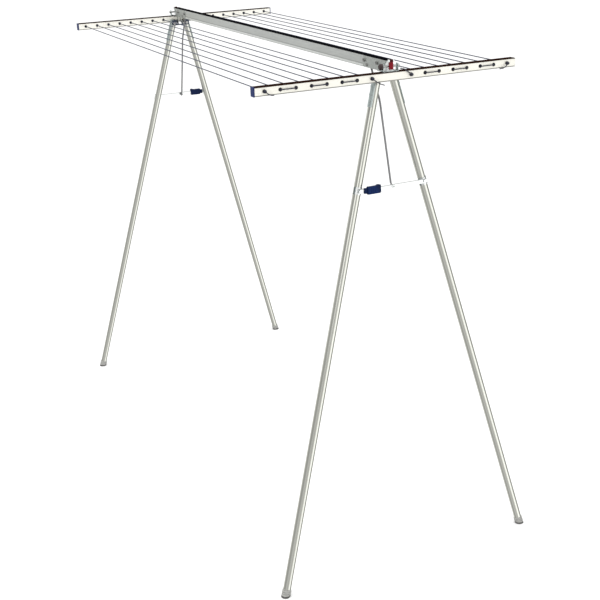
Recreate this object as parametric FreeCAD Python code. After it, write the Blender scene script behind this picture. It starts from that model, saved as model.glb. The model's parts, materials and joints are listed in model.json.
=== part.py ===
"""Free-standing clothes drying rack, in millimetres.

A top frame (a central beam, two crossbars and sixteen washing lines) stands on two A-frames.
+X runs along the beam, +Y across it and +Z up.  The origin is on the floor, under the middle.
Each A-frame folds inwards under the beam while its two legs close and its brace folds.
The far A-frame is the near one turned half a turn about Z.  It folds first and lies flat;
the near one stops short of flat, so that its legs lie under the feet of the far one.
"""
import FreeCAD, Part
import math
import os

V = FreeCAD.Vector
X_AXIS, Y_AXIS, Z_AXIS = V(1, 0, 0), V(0, 1, 0), V(0, 0, 1)

# ---------------------------------------------------------------- driving dimensions
LINE_HEIGHT = 1550.0          # height of the washing lines above the floor
LINE_PITCH = 47.6             # distance between neighbouring lines
LINE_FIRST_Y = 64.0           # innermost line, from the middle of the beam
LINES_PER_SIDE = 8
LINE_RADIUS = 1.6
LINE_TURN_RADIUS = 3.8        # bend where a line leaves its eyelet

BAR_OUTER_X = 904.0           # outer face of a crossbar
BAR_DEPTH = 21.0
BAR_HEIGHT = 26.0
BAR_HALF_LENGTH = 426.0       # without its end caps
BAR_WALL = 1.5
TRIM_THICKNESS = 1.2          # soft trim over the top edge of beam and crossbars
TRIM_PROUD = 0.6
TRIM_LIP = 2.4                # how far the trim reaches down the sides of a crossbar
BEAM_TRIM_LIP = 1.5           # and of the beam
BAR_GROOVE_RISE = 1.6         # drawn line along the lower edge of each face
BAR_GROOVE_HEIGHT = 1.0
BAR_GROOVE_DEPTH = 0.6
CAP_FLANGE = 3.0              # end cap: flange thickness, plug depth, overhang
CAP_PLUG = 14.0
CAP_OVERHANG = 0.6
EYELET_BARREL = 3.0
EYELET_FLANGE = 5.3
EYELET_THICKNESS = 1.2

BEAM_TOP = 1594.2             # aluminium only, under its trim
BEAM_BOTTOM = 1561.0
BEAM_WIDTH = 21.0
BEAM_WALL = 1.6
BEAM_HALF_LENGTH = 895.0
BEAM_SLANT = 44.0             # how far the end of a side wall is cut back at its lower edge
BEAM_RIB_HEIGHT = 8.0         # thicker band along the lower edge of the side walls
BEAM_RIB_PROUD = 0.8
BEAM_RIB_END = 754.0

FOOT_X = 1004.0               # leg centre lines on the floor
FOOT_Y = 442.0
LEG_X_AT_LINES = 865.0        # leg centre lines at the height of the lines
LEG_Y_AT_LINES = 24.0
LEG_PIVOT_Y = 27.5            # where the two legs of an A-frame turn
LEG_RADIUS = 12.5
LEG_WALL = 1.2
LEG_TOP_Z = 1550.0
LEG_END_Z = 8.0               # centre of the tube's lower end, inside its foot
HINGE_Z = 1542.0              # axis on which an A-frame folds
BRACE_Z = 1228.0              # height of the brace pivots

STAY_Z = 1569.0               # upper pivot of a stay rod
STAY_RADIUS = 3.0
STAY_END_OUT = 6.0            # lower eye, outwards from the plane of the leg centre lines
STAY_BEND = 19.0              # how far the rod bows out from the straight line
STAY_BEND_AT = 0.31           # share of its length, from the upper pivot
STAY_BEND_RADIUS = 120.0
EYE_RADIUS = 6.0
EYE_THICKNESS = 2.8

LINK_WIDTH = 13.0
LINK_THICKNESS = 2.0
PLAIN_LINK_OUT = 14.3         # inner face of each link, outwards from the leg centre lines
LOCK_LINK_OUT = 18.3
RIVET_RADIUS = 3.0
RIVET_HEAD = 5.5
RUN_CLEARANCE = 0.05          # radial clearance of a turning pin
PLAY = 0.3                    # gap between faces that slide past each other

LOCK_LENGTH = 43.0
LOCK_NOSE = 10.0
LOCK_START = 12.0             # from the outer pivot of its link to the tip of the nose
LOCK_BACK = 16.8
LOCK_FRONT = 27.0
LOCK_HALF_WIDTH = 11.5

FOOT_RADIUS = 13.5
FOOT_RIB_RADIUS = 14.2
FOOT_LENGTH = 25.0
FOOT_RIBS = 3

STRAP_LENGTH = 92.0
STRAP_THICKNESS = 1.5
STRAP_RIVET_DROPS = [32.0, 56.0]
SADDLE_HEIGHT = 22.0

KNOT_RADIUS = 5.0
KNOT_BEND = 8.0

BRACKET_GAUGE = 1.5           # U bracket on a crossbar, bolted through the end of the beam
BRACKET_EAR_Y = 25.0
BRACKET_TOP = 1586.0
BRACKET_EAR_HALF = 7.0
SCREW_RADIUS = 2.2
SCREW_HEAD_RADIUS = 4.2
SCREW_HEAD_HEIGHT = 2.2
SCREW_Y = 18.5
CROSS_BOLT_Z = 1578.0
CROSS_BOLT_RADIUS = 3.0
CROSS_BOLT_SPARE = 6.0        # how far the bolt's end stands out beyond its ear
CROSS_CAP_RADIUS = 9.0
CROSS_CAP_DEPTH = 7.0
CROSS_CAP_DOME = 3.0
NUT_APOTHEM = 5.0
NUT_HEIGHT = 4.5

PLUG_FRONT = 896.0            # plastic plug in each end of the beam
PLUG_BACK = 846.0
PLUG_POCKET = 26.0
LATCH_PIN_X = 900.5           # release lever on the front of the plug
LATCH_PIN_Z = 1593.5
LATCH_PIN_RADIUS = 1.5
LATCH_HALF_WIDTH = 5.5
LATCH_DROP = 24.0
LATCH_KNUCKLE = 3.2
LATCH_CROWN = 4.0
LATCH_LUG = 2.4

BEAM_BOLTS = [(766.0, 1581.5), (842.0, 1582.0)]
BEAM_BOLT_RADIUS = 3.0
BOLT_HEAD_RADIUS = 5.5
BOLT_HEAD_HEIGHT = 3.5

PLATE_GAUGE = 1.6             # hinge bracket on the beam
EAR_RADIUS = 7.5
LUG_RADIUS = 8.0
HINGE_PIN_RADIUS = 3.0
HINGE_PIN_HALF = 10.6
HINGE_HEAD_RADIUS = 4.0
HINGE_HEAD_HEIGHT = 0.8
BRACKET_LEG_Y = 6.0           # inner face of the two ears that carry the fold hinge
STAY_PIN_RADIUS = 2.5
STAY_PIN_HEAD = 4.5
PIN_HEAD_HEIGHT = 2.0

HEAD_GAUGE = 2.4              # plate at the head of an A-frame
HEAD_TOP_S = -8.0             # its upper and lower edge, below the hinge axis
HEAD_LOW_S = 14.0
HEAD_STRIP = 5.0              # strip that joins its two arms
HEAD_EAR_OUTER = 10.3
HEAD_EAR_GAUGE = 2.0
HEAD_ARM_HALF = 10.0

SWIVEL_TAB = 2.8              # tab beside the lower eye of a stay rod
SWIVEL_RADIUS = 4.4
SWIVEL_STUD_OUT = STAY_END_OUT + EYE_RADIUS + 0.4

# what differs between the two A-frames: where they stand and how far short of flat they fold
SIDES = {
    "near": {"turn": 0.0, "short_of_flat": 13.5},
    "far": {"turn": 180.0, "short_of_flat": 0.0},
}

# ---------------------------------------------------------------- derived geometry
LEAN = math.atan((FOOT_X - LEG_X_AT_LINES) / LINE_HEIGHT)
COS_LEAN, SIN_LEAN = math.cos(LEAN), math.sin(LEAN)
HINGE_X = LEG_X_AT_LINES + (LINE_HEIGHT - HINGE_Z) * math.tan(LEAN)
BAR_INNER_X = BAR_OUTER_X - BAR_DEPTH
BAR_MID_X = BAR_OUTER_X - BAR_DEPTH / 2
BAR_BOTTOM = LINE_HEIGHT - BAR_HEIGHT / 2
BAR_TOP = LINE_HEIGHT + BAR_HEIGHT / 2
BAR_METAL_TOP = BAR_TOP - TRIM_THICKNESS
HOLE_YS = [LINE_FIRST_Y + i * LINE_PITCH for i in range(LINES_PER_SIDE)]
BEAM_INNER = BEAM_WIDTH / 2 - BEAM_WALL
TOP_Z = BEAM_TOP + TRIM_THICKNESS
EYELET_FACE_X = BAR_OUTER_X + EYELET_THICKNESS
HEAD_INNER = -LEG_RADIUS - 0.6                # face of the head plate towards the legs

# end knots of the two lines: y of the knot, then the way its tail takes from the knot's centre
KNOT_TAILS = [
    (-HOLE_YS[-1], [(1.5, 9, -8), (1.0, 18, -12), (0.5, 26, -12.5)]),
    (-HOLE_YS[0], [(1.5, 13, -10), (1.0, 25, -17), (2.0, 37, -21)]),
    (HOLE_YS[0], [(0.5, -11, 8), (-4, -21, 17), (-13, -31, 19)]),
    (HOLE_YS[-1], [(1.5, -6, -7), (1.0, -16, -13), (0.5, -29, -14)]),
]


def slope_distance(z):
    """Distance down the plane of an A-frame from its hinge axis to height z."""
    return (HINGE_Z - z) / COS_LEAN


class Frame:
    """Sizes and placements of one A-frame, in its own upright axes.

    In those axes the origin is on the fold hinge, x points out of the rack at right angles to
    the plane of the legs, y runs across and z runs up the plane.
    """

    def __init__(self, turn, short_of_flat):
        spread = (FOOT_Y - LEG_Y_AT_LINES) / LINE_HEIGHT
        slope = spread * COS_LEAN
        y_at_hinge = LEG_Y_AT_LINES + (LINE_HEIGHT - HINGE_Z) * spread
        self.turn = turn
        self.fold = 90 + math.degrees(LEAN) - short_of_flat
        self.y_pivot = LEG_PIVOT_Y
        self.alpha = math.atan(slope)
        cos_alpha = math.cos(self.alpha)
        self.s_pivot = (self.y_pivot - y_at_hinge) / slope
        self.pivot_z = HINGE_Z - self.s_pivot * COS_LEAN
        self.above = (self.s_pivot - slope_distance(LEG_TOP_Z)) / cos_alpha
        self.below = (self.pivot_z - LEG_END_Z) / (cos_alpha * COS_LEAN)
        self.to_floor = self.pivot_z / (cos_alpha * COS_LEAN)
        self.s_brace = slope_distance(BRACE_Z)
        self.to_brace = (self.s_brace - self.s_pivot) / cos_alpha
        self.half_brace = self.y_pivot + self.to_brace * math.sin(self.alpha)
        drop = math.sqrt(self.half_brace ** 2 - self.y_pivot ** 2)
        self.s_folded = self.s_pivot + self.to_brace + drop
        self.stay_x = self.upper_stay_x()

    def upper_stay_x(self):
        """X of the stay's upper pivot, so that one rod length fits both open and folded."""
        open_x, open_z = self.stay_end()
        folded_x, folded_z = self.folded_stay_end()
        squares = open_x ** 2 - folded_x ** 2 + (open_z - STAY_Z) ** 2 - (folded_z - STAY_Z) ** 2
        return squares / (2 * (open_x - folded_x))

    def stay_end(self):
        """X and Z of the lower eye of the stay rod, with the rack open."""
        x = HINGE_X + self.s_brace * SIN_LEAN + STAY_END_OUT * COS_LEAN
        z = HINGE_Z - self.s_brace * COS_LEAN + STAY_END_OUT * SIN_LEAN
        return x, z

    def folded_stay_end(self):
        """X and Z of the lower eye of the stay rod, with this A-frame folded."""
        x = self.s_folded * SIN_LEAN + STAY_END_OUT * COS_LEAN
        z = STAY_END_OUT * SIN_LEAN - self.s_folded * COS_LEAN
        turn = math.radians(self.fold)
        return (HINGE_X + x * math.cos(turn) + z * math.sin(turn),
                HINGE_Z - x * math.sin(turn) + z * math.cos(turn))

    def to_world(self, shape):
        """Turn a shape built in rack axes for the near end to this end."""
        shape = shape.copy()
        shape.rotate(V(0, 0, 0), Z_AXIS, self.turn)
        return shape

    def upright(self, shape):
        """Place a shape built in this A-frame's upright axes."""
        shape = shape.copy()
        shape.rotate(V(0, 0, 0), Y_AXIS, -math.degrees(LEAN))
        shape.translate(V(HINGE_X, 0, HINGE_Z))
        return self.to_world(shape)

    def on_leg(self, shape, hand):
        """Place a shape built about a leg pivot, with the leg along -z.  hand is +1 or -1."""
        shape = shape.copy()
        shape.rotate(V(0, 0, 0), X_AXIS, hand * math.degrees(self.alpha))
        shape.translate(V(0, hand * self.y_pivot, -self.s_pivot))
        return self.upright(shape)


# ---------------------------------------------------------------- building blocks
def box(x0, x1, y0, y1, z0, z1):
    return Part.makeBox(x1 - x0, y1 - y0, z1 - z0, V(x0, y0, z0))


def cylinder(radius, start, end):
    axis = end - start
    return Part.makeCylinder(radius, axis.Length, start, axis)


def y_cylinder(radius, x, z, y0, y1):
    return cylinder(radius, V(x, y0, z), V(x, y1, z))


def x_cylinder(radius, y, z, x0, x1):
    return cylinder(radius, V(x0, y, z), V(x1, y, z))


def fuse(shapes):
    joined = shapes[0]
    if len(shapes) > 1:
        joined = shapes[0].fuse(shapes[1:])
    return joined.removeSplitter()


def plate_xz(points, y0, y1):
    """A flat plate with its outline in the XZ plane, from y0 to y1."""
    corners = [V(x, y0, z) for x, z in points]
    face = Part.Face(Part.makePolygon(corners + corners[:1]))
    return face.extrude(V(0, y1 - y0, 0))


def plate_yz(points, x0, x1):
    """A flat plate with its outline in the YZ plane, from x0 to x1."""
    corners = [V(x0, y, z) for y, z in points]
    face = Part.Face(Part.makePolygon(corners + corners[:1]))
    return face.extrude(V(x1 - x0, 0, 0))


def rounded_tube(points, bends, radius):
    """A round rod along a polyline, with each inner corner rounded to its bend radius."""
    edges = []
    start = points[0]
    for before, corner, after, bend in zip(points, points[1:], points[2:], bends):
        inwards = (before - corner).normalize()
        outwards = (after - corner).normalize()
        half_turn = inwards.getAngle(outwards) / 2
        reach = bend / math.tan(half_turn)
        arc_start = corner + inwards * reach
        arc_end = corner + outwards * reach
        bisector = (inwards + outwards).normalize()
        centre = corner + bisector * (bend / math.sin(half_turn))
        arc_middle = centre - bisector * bend
        if (arc_start - start).Length > 1e-6:
            edges.append(Part.LineSegment(start, arc_start).toShape())
        edges.append(Part.Arc(arc_start, arc_middle, arc_end).toShape())
        start = arc_end
    if (points[-1] - start).Length > 1e-6:
        edges.append(Part.LineSegment(start, points[-1]).toShape())
    circle = Part.Wire(Part.makeCircle(radius, points[0], points[1] - points[0]))
    return Part.Wire(edges).makePipeShell([circle], True, False)


def arc_shell(inner, outer, middle_angle, half_angle, z0, z1):
    """Part of a tube wall about z, within half_angle degrees of middle_angle."""
    wall = Part.makeCylinder(outer, z1 - z0, V(0, 0, z0), Z_AXIS, 2 * half_angle)
    wall = wall.cut(Part.makeCylinder(inner, z1 - z0, V(0, 0, z0)))
    wall.rotate(V(0, 0, 0), Z_AXIS, middle_angle - half_angle)
    return wall


def both_ends(build):
    """The near shape and the same shape turned to the far end."""
    near = build()
    far = near.copy()
    far.rotate(V(0, 0, 0), Z_AXIS, 180)
    return [near, far]


# ---------------------------------------------------------------- top frame
def beam(stay_pin_xs):
    """Inverted channel with slanted ends and a thicker lower edge, drilled for bolts and pins."""
    half = BEAM_WIDTH / 2
    outer = box(-BEAM_HALF_LENGTH, BEAM_HALF_LENGTH, -half, half, BEAM_BOTTOM, BEAM_TOP)
    ribs = [box(-BEAM_RIB_END, BEAM_RIB_END, -half - BEAM_RIB_PROUD, half + BEAM_RIB_PROUD,
                BEAM_BOTTOM, BEAM_BOTTOM + BEAM_RIB_HEIGHT)]
    inside = box(-BEAM_HALF_LENGTH, BEAM_HALF_LENGTH, -BEAM_INNER, BEAM_INNER,
                 BEAM_BOTTOM, BEAM_TOP - BEAM_WALL)
    shape = fuse([outer] + ribs).cut(inside)
    slant = [(BEAM_HALF_LENGTH + 1, BEAM_BOTTOM - 1), (BEAM_HALF_LENGTH + 1, BEAM_TOP - BEAM_WALL),
             (BEAM_HALF_LENGTH, BEAM_TOP - BEAM_WALL),
             (BEAM_HALF_LENGTH - BEAM_SLANT, BEAM_BOTTOM), (BEAM_HALF_LENGTH - BEAM_SLANT,
                                                            BEAM_BOTTOM - 1)]
    for cutter in both_ends(lambda: plate_xz(slant, -BEAM_WIDTH, BEAM_WIDTH)):
        shape = shape.cut(cutter)
    for x, z in BEAM_BOLTS:
        for hole in both_ends(lambda: y_cylinder(BEAM_BOLT_RADIUS, x, z, -BEAM_WIDTH, BEAM_WIDTH)):
            shape = shape.cut(hole)
    return shape.cut([y_cylinder(STAY_PIN_RADIUS, x, STAY_Z, -BEAM_WIDTH, BEAM_WIDTH)
                      for x in stay_pin_xs])


def beam_trim():
    """Soft strip over the top of the beam, with a short lip down each side."""
    half = BEAM_WIDTH / 2 + TRIM_PROUD
    cap = box(-BEAM_HALF_LENGTH, BEAM_HALF_LENGTH, -half, half, TOP_Z - BEAM_TRIM_LIP,
              TOP_Z)
    return cap.cut(box(-BEAM_HALF_LENGTH, BEAM_HALF_LENGTH, -BEAM_WIDTH / 2, BEAM_WIDTH / 2,
                       TOP_Z - BEAM_TRIM_LIP, BEAM_TOP))


def crossbar():
    """Rectangular tube with a hole for every line through both faces."""
    shape = box(BAR_INNER_X, BAR_OUTER_X, -BAR_HALF_LENGTH, BAR_HALF_LENGTH,
                BAR_BOTTOM, BAR_METAL_TOP)
    shape = shape.cut(box(BAR_INNER_X + BAR_WALL, BAR_OUTER_X - BAR_WALL, -BAR_HALF_LENGTH,
                          BAR_HALF_LENGTH, BAR_BOTTOM + BAR_WALL, BAR_METAL_TOP - BAR_WALL))
    holes = [x_cylinder(EYELET_BARREL, sign * y, LINE_HEIGHT, BAR_INNER_X - 1, BAR_OUTER_X + 1)
             for y in HOLE_YS for sign in (-1, 1)]
    groove_z = BAR_BOTTOM + BAR_GROOVE_RISE
    grooves = [box(x - BAR_GROOVE_DEPTH, x + BAR_GROOVE_DEPTH, -BAR_HALF_LENGTH, BAR_HALF_LENGTH,
                   groove_z, groove_z + BAR_GROOVE_HEIGHT) for x in (BAR_INNER_X, BAR_OUTER_X)]
    return shape.cut(holes + grooves)


def crossbar_trim():
    """Soft strip over the top of a crossbar, with a short lip down each face."""
    low = BAR_TOP - TRIM_LIP
    cap = box(BAR_INNER_X - TRIM_PROUD, BAR_OUTER_X + TRIM_PROUD,
              -BAR_HALF_LENGTH, BAR_HALF_LENGTH, low, BAR_TOP)
    return cap.cut(box(BAR_INNER_X, BAR_OUTER_X, -BAR_HALF_LENGTH, BAR_HALF_LENGTH,
                       low, BAR_METAL_TOP))


def crossbar_caps():
    """Plugs with a flange, one in each end of a crossbar."""
    caps = []
    for sign in (-1, 1):
        end = sign * BAR_HALF_LENGTH
        inner = end - sign * CAP_PLUG
        outer = end + sign * CAP_FLANGE
        plug = box(BAR_INNER_X + BAR_WALL, BAR_OUTER_X - BAR_WALL, min(inner, end),
                   max(inner, end), BAR_BOTTOM + BAR_WALL, BAR_METAL_TOP - BAR_WALL)
        flange = box(BAR_INNER_X - CAP_OVERHANG, BAR_OUTER_X + CAP_OVERHANG, min(end, outer),
                     max(end, outer), BAR_BOTTOM - CAP_OVERHANG, BAR_TOP)
        caps.append(fuse([plug, flange]))
    return Part.makeCompound(caps)


def eyelet(y):
    """Bush through the crossbar with a flange on each face."""
    z = LINE_HEIGHT
    barrel = x_cylinder(EYELET_BARREL, y, z, BAR_INNER_X, BAR_OUTER_X)
    flanges = [x_cylinder(EYELET_FLANGE, y, z, BAR_OUTER_X, EYELET_FACE_X),
               x_cylinder(EYELET_FLANGE, y, z, BAR_INNER_X - EYELET_THICKNESS, BAR_INNER_X)]
    bore = x_cylinder(LINE_RADIUS + 0.1, y, z, BAR_INNER_X - 2, BAR_OUTER_X + 2)
    return fuse([barrel] + flanges).cut(bore)


def eyelets():
    bushes = [eyelet(sign * y) for y in HOLE_YS for sign in (-1, 1)]
    near = Part.makeCompound(bushes)
    far = near.copy()
    far.rotate(V(0, 0, 0), Z_AXIS, 180)
    return Part.makeCompound([near, far])


def line_runs(sign):
    """The straight runs of one washing line, from crossbar to crossbar."""
    runs = [x_cylinder(LINE_RADIUS, sign * y, LINE_HEIGHT, -EYELET_FACE_X, EYELET_FACE_X)
            for y in HOLE_YS]
    return Part.makeCompound(runs)


def line_turn(sign, end, first, second):
    """The short stretch of a line across the outer face, between two eyelets."""
    face = end * EYELET_FACE_X
    proud = end * (EYELET_FACE_X + LINE_TURN_RADIUS)
    points = [V(face, sign * first, LINE_HEIGHT), V(proud, sign * first, LINE_HEIGHT),
              V(proud, sign * second, LINE_HEIGHT), V(face, sign * second, LINE_HEIGHT)]
    return rounded_tube(points, [LINE_TURN_RADIUS] * 2, LINE_RADIUS)


def line_turns():
    """Far end: lines 1-2, 3-4, 5-6, 7-8.  Near end: 2-3, 4-5, 6-7."""
    turns = []
    for sign in (-1, 1):
        for end, start in ((-1, 0), (1, 1)):
            for index in range(start, LINES_PER_SIDE - 1, 2):
                turns.append(line_turn(sign, end, HOLE_YS[index], HOLE_YS[index + 1]))
    return Part.makeCompound(turns)


def knot(y, tail):
    """End knot against the near eyelet, and its tail through the given offsets."""
    centre = V(EYELET_FACE_X + KNOT_RADIUS * 0.8, y, LINE_HEIGHT)
    ball = Part.makeSphere(KNOT_RADIUS, centre, X_AXIS)
    ball = ball.cut(box(EYELET_FACE_X - KNOT_RADIUS, EYELET_FACE_X, y - KNOT_RADIUS, y + KNOT_RADIUS,
                        LINE_HEIGHT - KNOT_RADIUS, LINE_HEIGHT + KNOT_RADIUS))
    route = [centre] + [centre + V(dx, dy, dz) for dx, dy, dz in tail]
    end = rounded_tube(route, [KNOT_BEND] * (len(route) - 2), LINE_RADIUS * 0.9)
    return fuse([ball, end])


def knots():
    return Part.makeCompound([knot(y, tail) for y, tail in KNOT_TAILS])


# ---------------------------------------------------------------- joining beam and crossbars
def crossbar_bracket():
    """U bracket on the crossbar: base under the beam and an upright ear on each side of it."""
    base = box(BAR_MID_X - BRACKET_EAR_HALF, BAR_MID_X + BRACKET_EAR_HALF,
               -BRACKET_EAR_Y, BRACKET_EAR_Y, BAR_TOP, BAR_TOP + BRACKET_GAUGE)
    ears = []
    for sign in (-1, 1):
        y0, y1 = sorted((sign * BRACKET_EAR_Y, sign * (BRACKET_EAR_Y - BRACKET_GAUGE)))
        upright = box(BAR_MID_X - BRACKET_EAR_HALF, BAR_MID_X + BRACKET_EAR_HALF, y0, y1,
                      BAR_TOP, BRACKET_TOP - BRACKET_EAR_HALF)
        crown = y_cylinder(BRACKET_EAR_HALF, BAR_MID_X, BRACKET_TOP - BRACKET_EAR_HALF, y0, y1)
        ears += [upright, crown]
    hole = y_cylinder(CROSS_BOLT_RADIUS, BAR_MID_X, CROSS_BOLT_Z, -BRACKET_EAR_Y - 1,
                      BRACKET_EAR_Y + 1)
    screws = [cylinder(SCREW_RADIUS, V(BAR_MID_X, y, BAR_TOP - 1), V(BAR_MID_X, y, BAR_TOP + 3))
              for y in (-SCREW_Y, SCREW_Y)]
    return fuse([base] + ears).cut([hole] + screws)


def crossbar_screws():
    """Screws that hold each bracket down on its crossbar."""
    screws = []
    for y in (-SCREW_Y, SCREW_Y):
        seat = BAR_TOP + BRACKET_GAUGE
        head = cylinder(SCREW_HEAD_RADIUS, V(BAR_MID_X, y, seat),
                        V(BAR_MID_X, y, seat + SCREW_HEAD_HEIGHT))
        shank = cylinder(SCREW_RADIUS, V(BAR_MID_X, y, BAR_TOP), V(BAR_MID_X, y, seat))
        screws.append(fuse([head, shank]))
    return Part.makeCompound(screws)


def cross_bolt():
    """Bolt through both ears and the beam's end plug, with its nut."""
    end = BRACKET_EAR_Y
    shank = y_cylinder(CROSS_BOLT_RADIUS, BAR_MID_X, CROSS_BOLT_Z, -end, end + CROSS_BOLT_SPARE)
    nut = hexagon(BAR_MID_X, CROSS_BOLT_Z, NUT_APOTHEM, end, end + NUT_HEIGHT)
    return fuse([shank, nut])


def cross_bolt_cap():
    """Rounded plastic cap over the head of the cross bolt."""
    start = -BRACKET_EAR_Y
    face = start - CROSS_CAP_DEPTH
    body = y_cylinder(CROSS_CAP_RADIUS, BAR_MID_X, CROSS_BOLT_Z, face, start)
    dome = Part.makeCone(CROSS_CAP_RADIUS, CROSS_CAP_RADIUS - CROSS_CAP_DOME, CROSS_CAP_DOME,
                         V(BAR_MID_X, face, CROSS_BOLT_Z), -Y_AXIS)
    return fuse([body, dome])


def hexagon(x, z, apothem, y0, y1):
    corner = apothem / math.cos(math.pi / 6)
    points = [(x + corner * math.cos(math.radians(60 * i)),
               z + corner * math.sin(math.radians(60 * i))) for i in range(6)]
    return plate_xz(points, y0, y1)


def beam_bolts():
    """Bolts that fasten each hinge bracket to the beam, head on one side, nut on the other."""
    face = BEAM_WIDTH / 2 + PLATE_GAUGE
    bolts = []
    for x, z in BEAM_BOLTS:
        head = y_cylinder(BOLT_HEAD_RADIUS, x, z, -face - BOLT_HEAD_HEIGHT, -face)
        recess = hexagon(x, z, 2.6, -face - BOLT_HEAD_HEIGHT, -face - 1.2)
        shank = y_cylinder(BEAM_BOLT_RADIUS, x, z, -face, face + 5.5)
        nut = hexagon(x, z, NUT_APOTHEM, face, face + NUT_HEIGHT)
        bolts.append(fuse([head.cut(recess), shank, nut]))
    return Part.makeCompound(bolts)


def end_plug():
    """Plastic plug in the end of the beam, bored for the cross bolt."""
    low = BAR_TOP + BRACKET_GAUGE
    body = box(PLUG_BACK, PLUG_FRONT, -BEAM_INNER, BEAM_INNER, low, BEAM_TOP - BEAM_WALL)
    pocket = box(PLUG_BACK - 1, PLUG_BACK + PLUG_POCKET, -BEAM_INNER + 3, BEAM_INNER - 3,
                 low - 1, BEAM_TOP - 8)
    bore = y_cylinder(CROSS_BOLT_RADIUS, BAR_MID_X, CROSS_BOLT_Z, -BEAM_WIDTH, BEAM_WIDTH)
    lugs = []
    for sign in (-1, 1):
        inner = LATCH_HALF_WIDTH + PLAY
        outer = inner + LATCH_LUG
        y0, y1 = sorted((sign * inner, sign * outer))
        lugs.append(box(PLUG_FRONT, LATCH_PIN_X, y0, y1, LATCH_PIN_Z - 3.5, LATCH_PIN_Z + 3.5))
        lugs.append(y_cylinder(3.5, LATCH_PIN_X, LATCH_PIN_Z, y0, y1))
    pin_hole = y_cylinder(LATCH_PIN_RADIUS, LATCH_PIN_X, LATCH_PIN_Z, -BEAM_WIDTH, BEAM_WIDTH)
    return fuse([body] + lugs).cut([pocket, bore, pin_hole])


def latch_pin():
    reach = LATCH_HALF_WIDTH + PLAY + LATCH_LUG
    return y_cylinder(LATCH_PIN_RADIUS, LATCH_PIN_X, LATCH_PIN_Z, -reach, reach)


def release_lever():
    """Lever on the end of the beam: a knuckle on its pin and a finger tab below it."""
    x, z = LATCH_PIN_X, LATCH_PIN_Z
    low = z - LATCH_DROP
    outline = [(x - LATCH_KNUCKLE, z), (x - LATCH_KNUCKLE, z - 10), (x - 2.0, low), (x + 3.2, low),
               (x + 4.6, low + 4), (x + 3.4, z - 10), (x + LATCH_KNUCKLE, z)]
    tab = plate_xz(outline, -LATCH_HALF_WIDTH, LATCH_HALF_WIDTH)
    knuckle = y_cylinder(LATCH_KNUCKLE, x, z, -LATCH_HALF_WIDTH, LATCH_HALF_WIDTH)
    crown = box(x - 1.4, x + LATCH_KNUCKLE, -LATCH_HALF_WIDTH, LATCH_HALF_WIDTH,
                z, z + LATCH_CROWN)
    hole = y_cylinder(LATCH_PIN_RADIUS + RUN_CLEARANCE, x, z, -BEAM_WIDTH, BEAM_WIDTH)
    return fuse([tab, knuckle, crown]).cut(hole)


# ---------------------------------------------------------------- hinge bracket on the beam
def hinge_bracket(frame):
    """A cheek on each side of the beam, a web under it and two ears down to the fold hinge."""
    top = TOP_Z - BEAM_TRIM_LIP - 0.2
    web_z = BEAM_BOTTOM - PLATE_GAUGE
    back, front = HINGE_X - EAR_RADIUS, HINGE_X + EAR_RADIUS
    slant_end = BEAM_HALF_LENGTH - BEAM_SLANT
    slope = BEAM_SLANT / (BEAM_TOP - BEAM_WALL - BEAM_BOTTOM)
    outline = [(BEAM_RIB_END + 1, 1571.0), (BEAM_RIB_END + 1, top - 8), (BEAM_RIB_END + 7, top),
               (slant_end + (top - BEAM_BOTTOM) * slope - 2, top), (front, 1576.0),
               (front, web_z), (back - 17, web_z), (back - 19, BEAM_BOTTOM),
               (BEAM_RIB_END + 7, BEAM_BOTTOM)]
    reach = BEAM_WIDTH / 2 + PLATE_GAUGE
    parts = [box(back - 17, front, -reach, reach, web_z, BEAM_BOTTOM)]
    for sign in (-1, 1):
        y0, y1 = sorted((sign * BEAM_WIDTH / 2, sign * reach))
        parts.append(plate_xz(outline, y0, y1))
        parts.append(y_cylinder(LUG_RADIUS, frame.stay_x, STAY_Z, y0, y1))
        y0, y1 = sorted((sign * BRACKET_LEG_Y, sign * (BRACKET_LEG_Y + HEAD_EAR_GAUGE)))
        parts.append(box(back, front, y0, y1, HINGE_Z, web_z))
        parts.append(y_cylinder(EAR_RADIUS, HINGE_X, HINGE_Z, y0, y1))
    holes = [y_cylinder(BEAM_BOLT_RADIUS, x, z, -BEAM_WIDTH, BEAM_WIDTH) for x, z in BEAM_BOLTS]
    holes.append(y_cylinder(HINGE_PIN_RADIUS, HINGE_X, HINGE_Z, -BEAM_WIDTH, BEAM_WIDTH))
    holes.append(y_cylinder(STAY_PIN_RADIUS, frame.stay_x, STAY_Z, -BEAM_WIDTH, BEAM_WIDTH))
    return frame.to_world(fuse(parts).cut(holes))


def pin_with_heads(radius, head, x, z, half_length, head_height):
    shank = y_cylinder(radius, x, z, -half_length, half_length)
    end = half_length + head_height
    heads = [y_cylinder(head, x, z, -end, -half_length), y_cylinder(head, x, z, half_length, end)]
    return fuse([shank] + heads)


def hinge_pin():
    return pin_with_heads(HINGE_PIN_RADIUS, HINGE_HEAD_RADIUS, HINGE_X, HINGE_Z, HINGE_PIN_HALF,
                          HINGE_HEAD_HEIGHT)


def stay_pin(frame):
    """Pin of the stay's upper eye, with a spacer on each side to centre the rod."""
    half = BEAM_WIDTH / 2 + PLATE_GAUGE
    pin = pin_with_heads(STAY_PIN_RADIUS, STAY_PIN_HEAD, frame.stay_x, STAY_Z, half,
                         PIN_HEAD_HEIGHT)
    left = y_cylinder(STAY_PIN_HEAD, frame.stay_x, STAY_Z, -BEAM_INNER, -PLAY)
    right = y_cylinder(STAY_PIN_HEAD, frame.stay_x, STAY_Z, EYE_THICKNESS + PLAY, BEAM_INNER)
    return frame.to_world(fuse([pin, left, right]))


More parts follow.
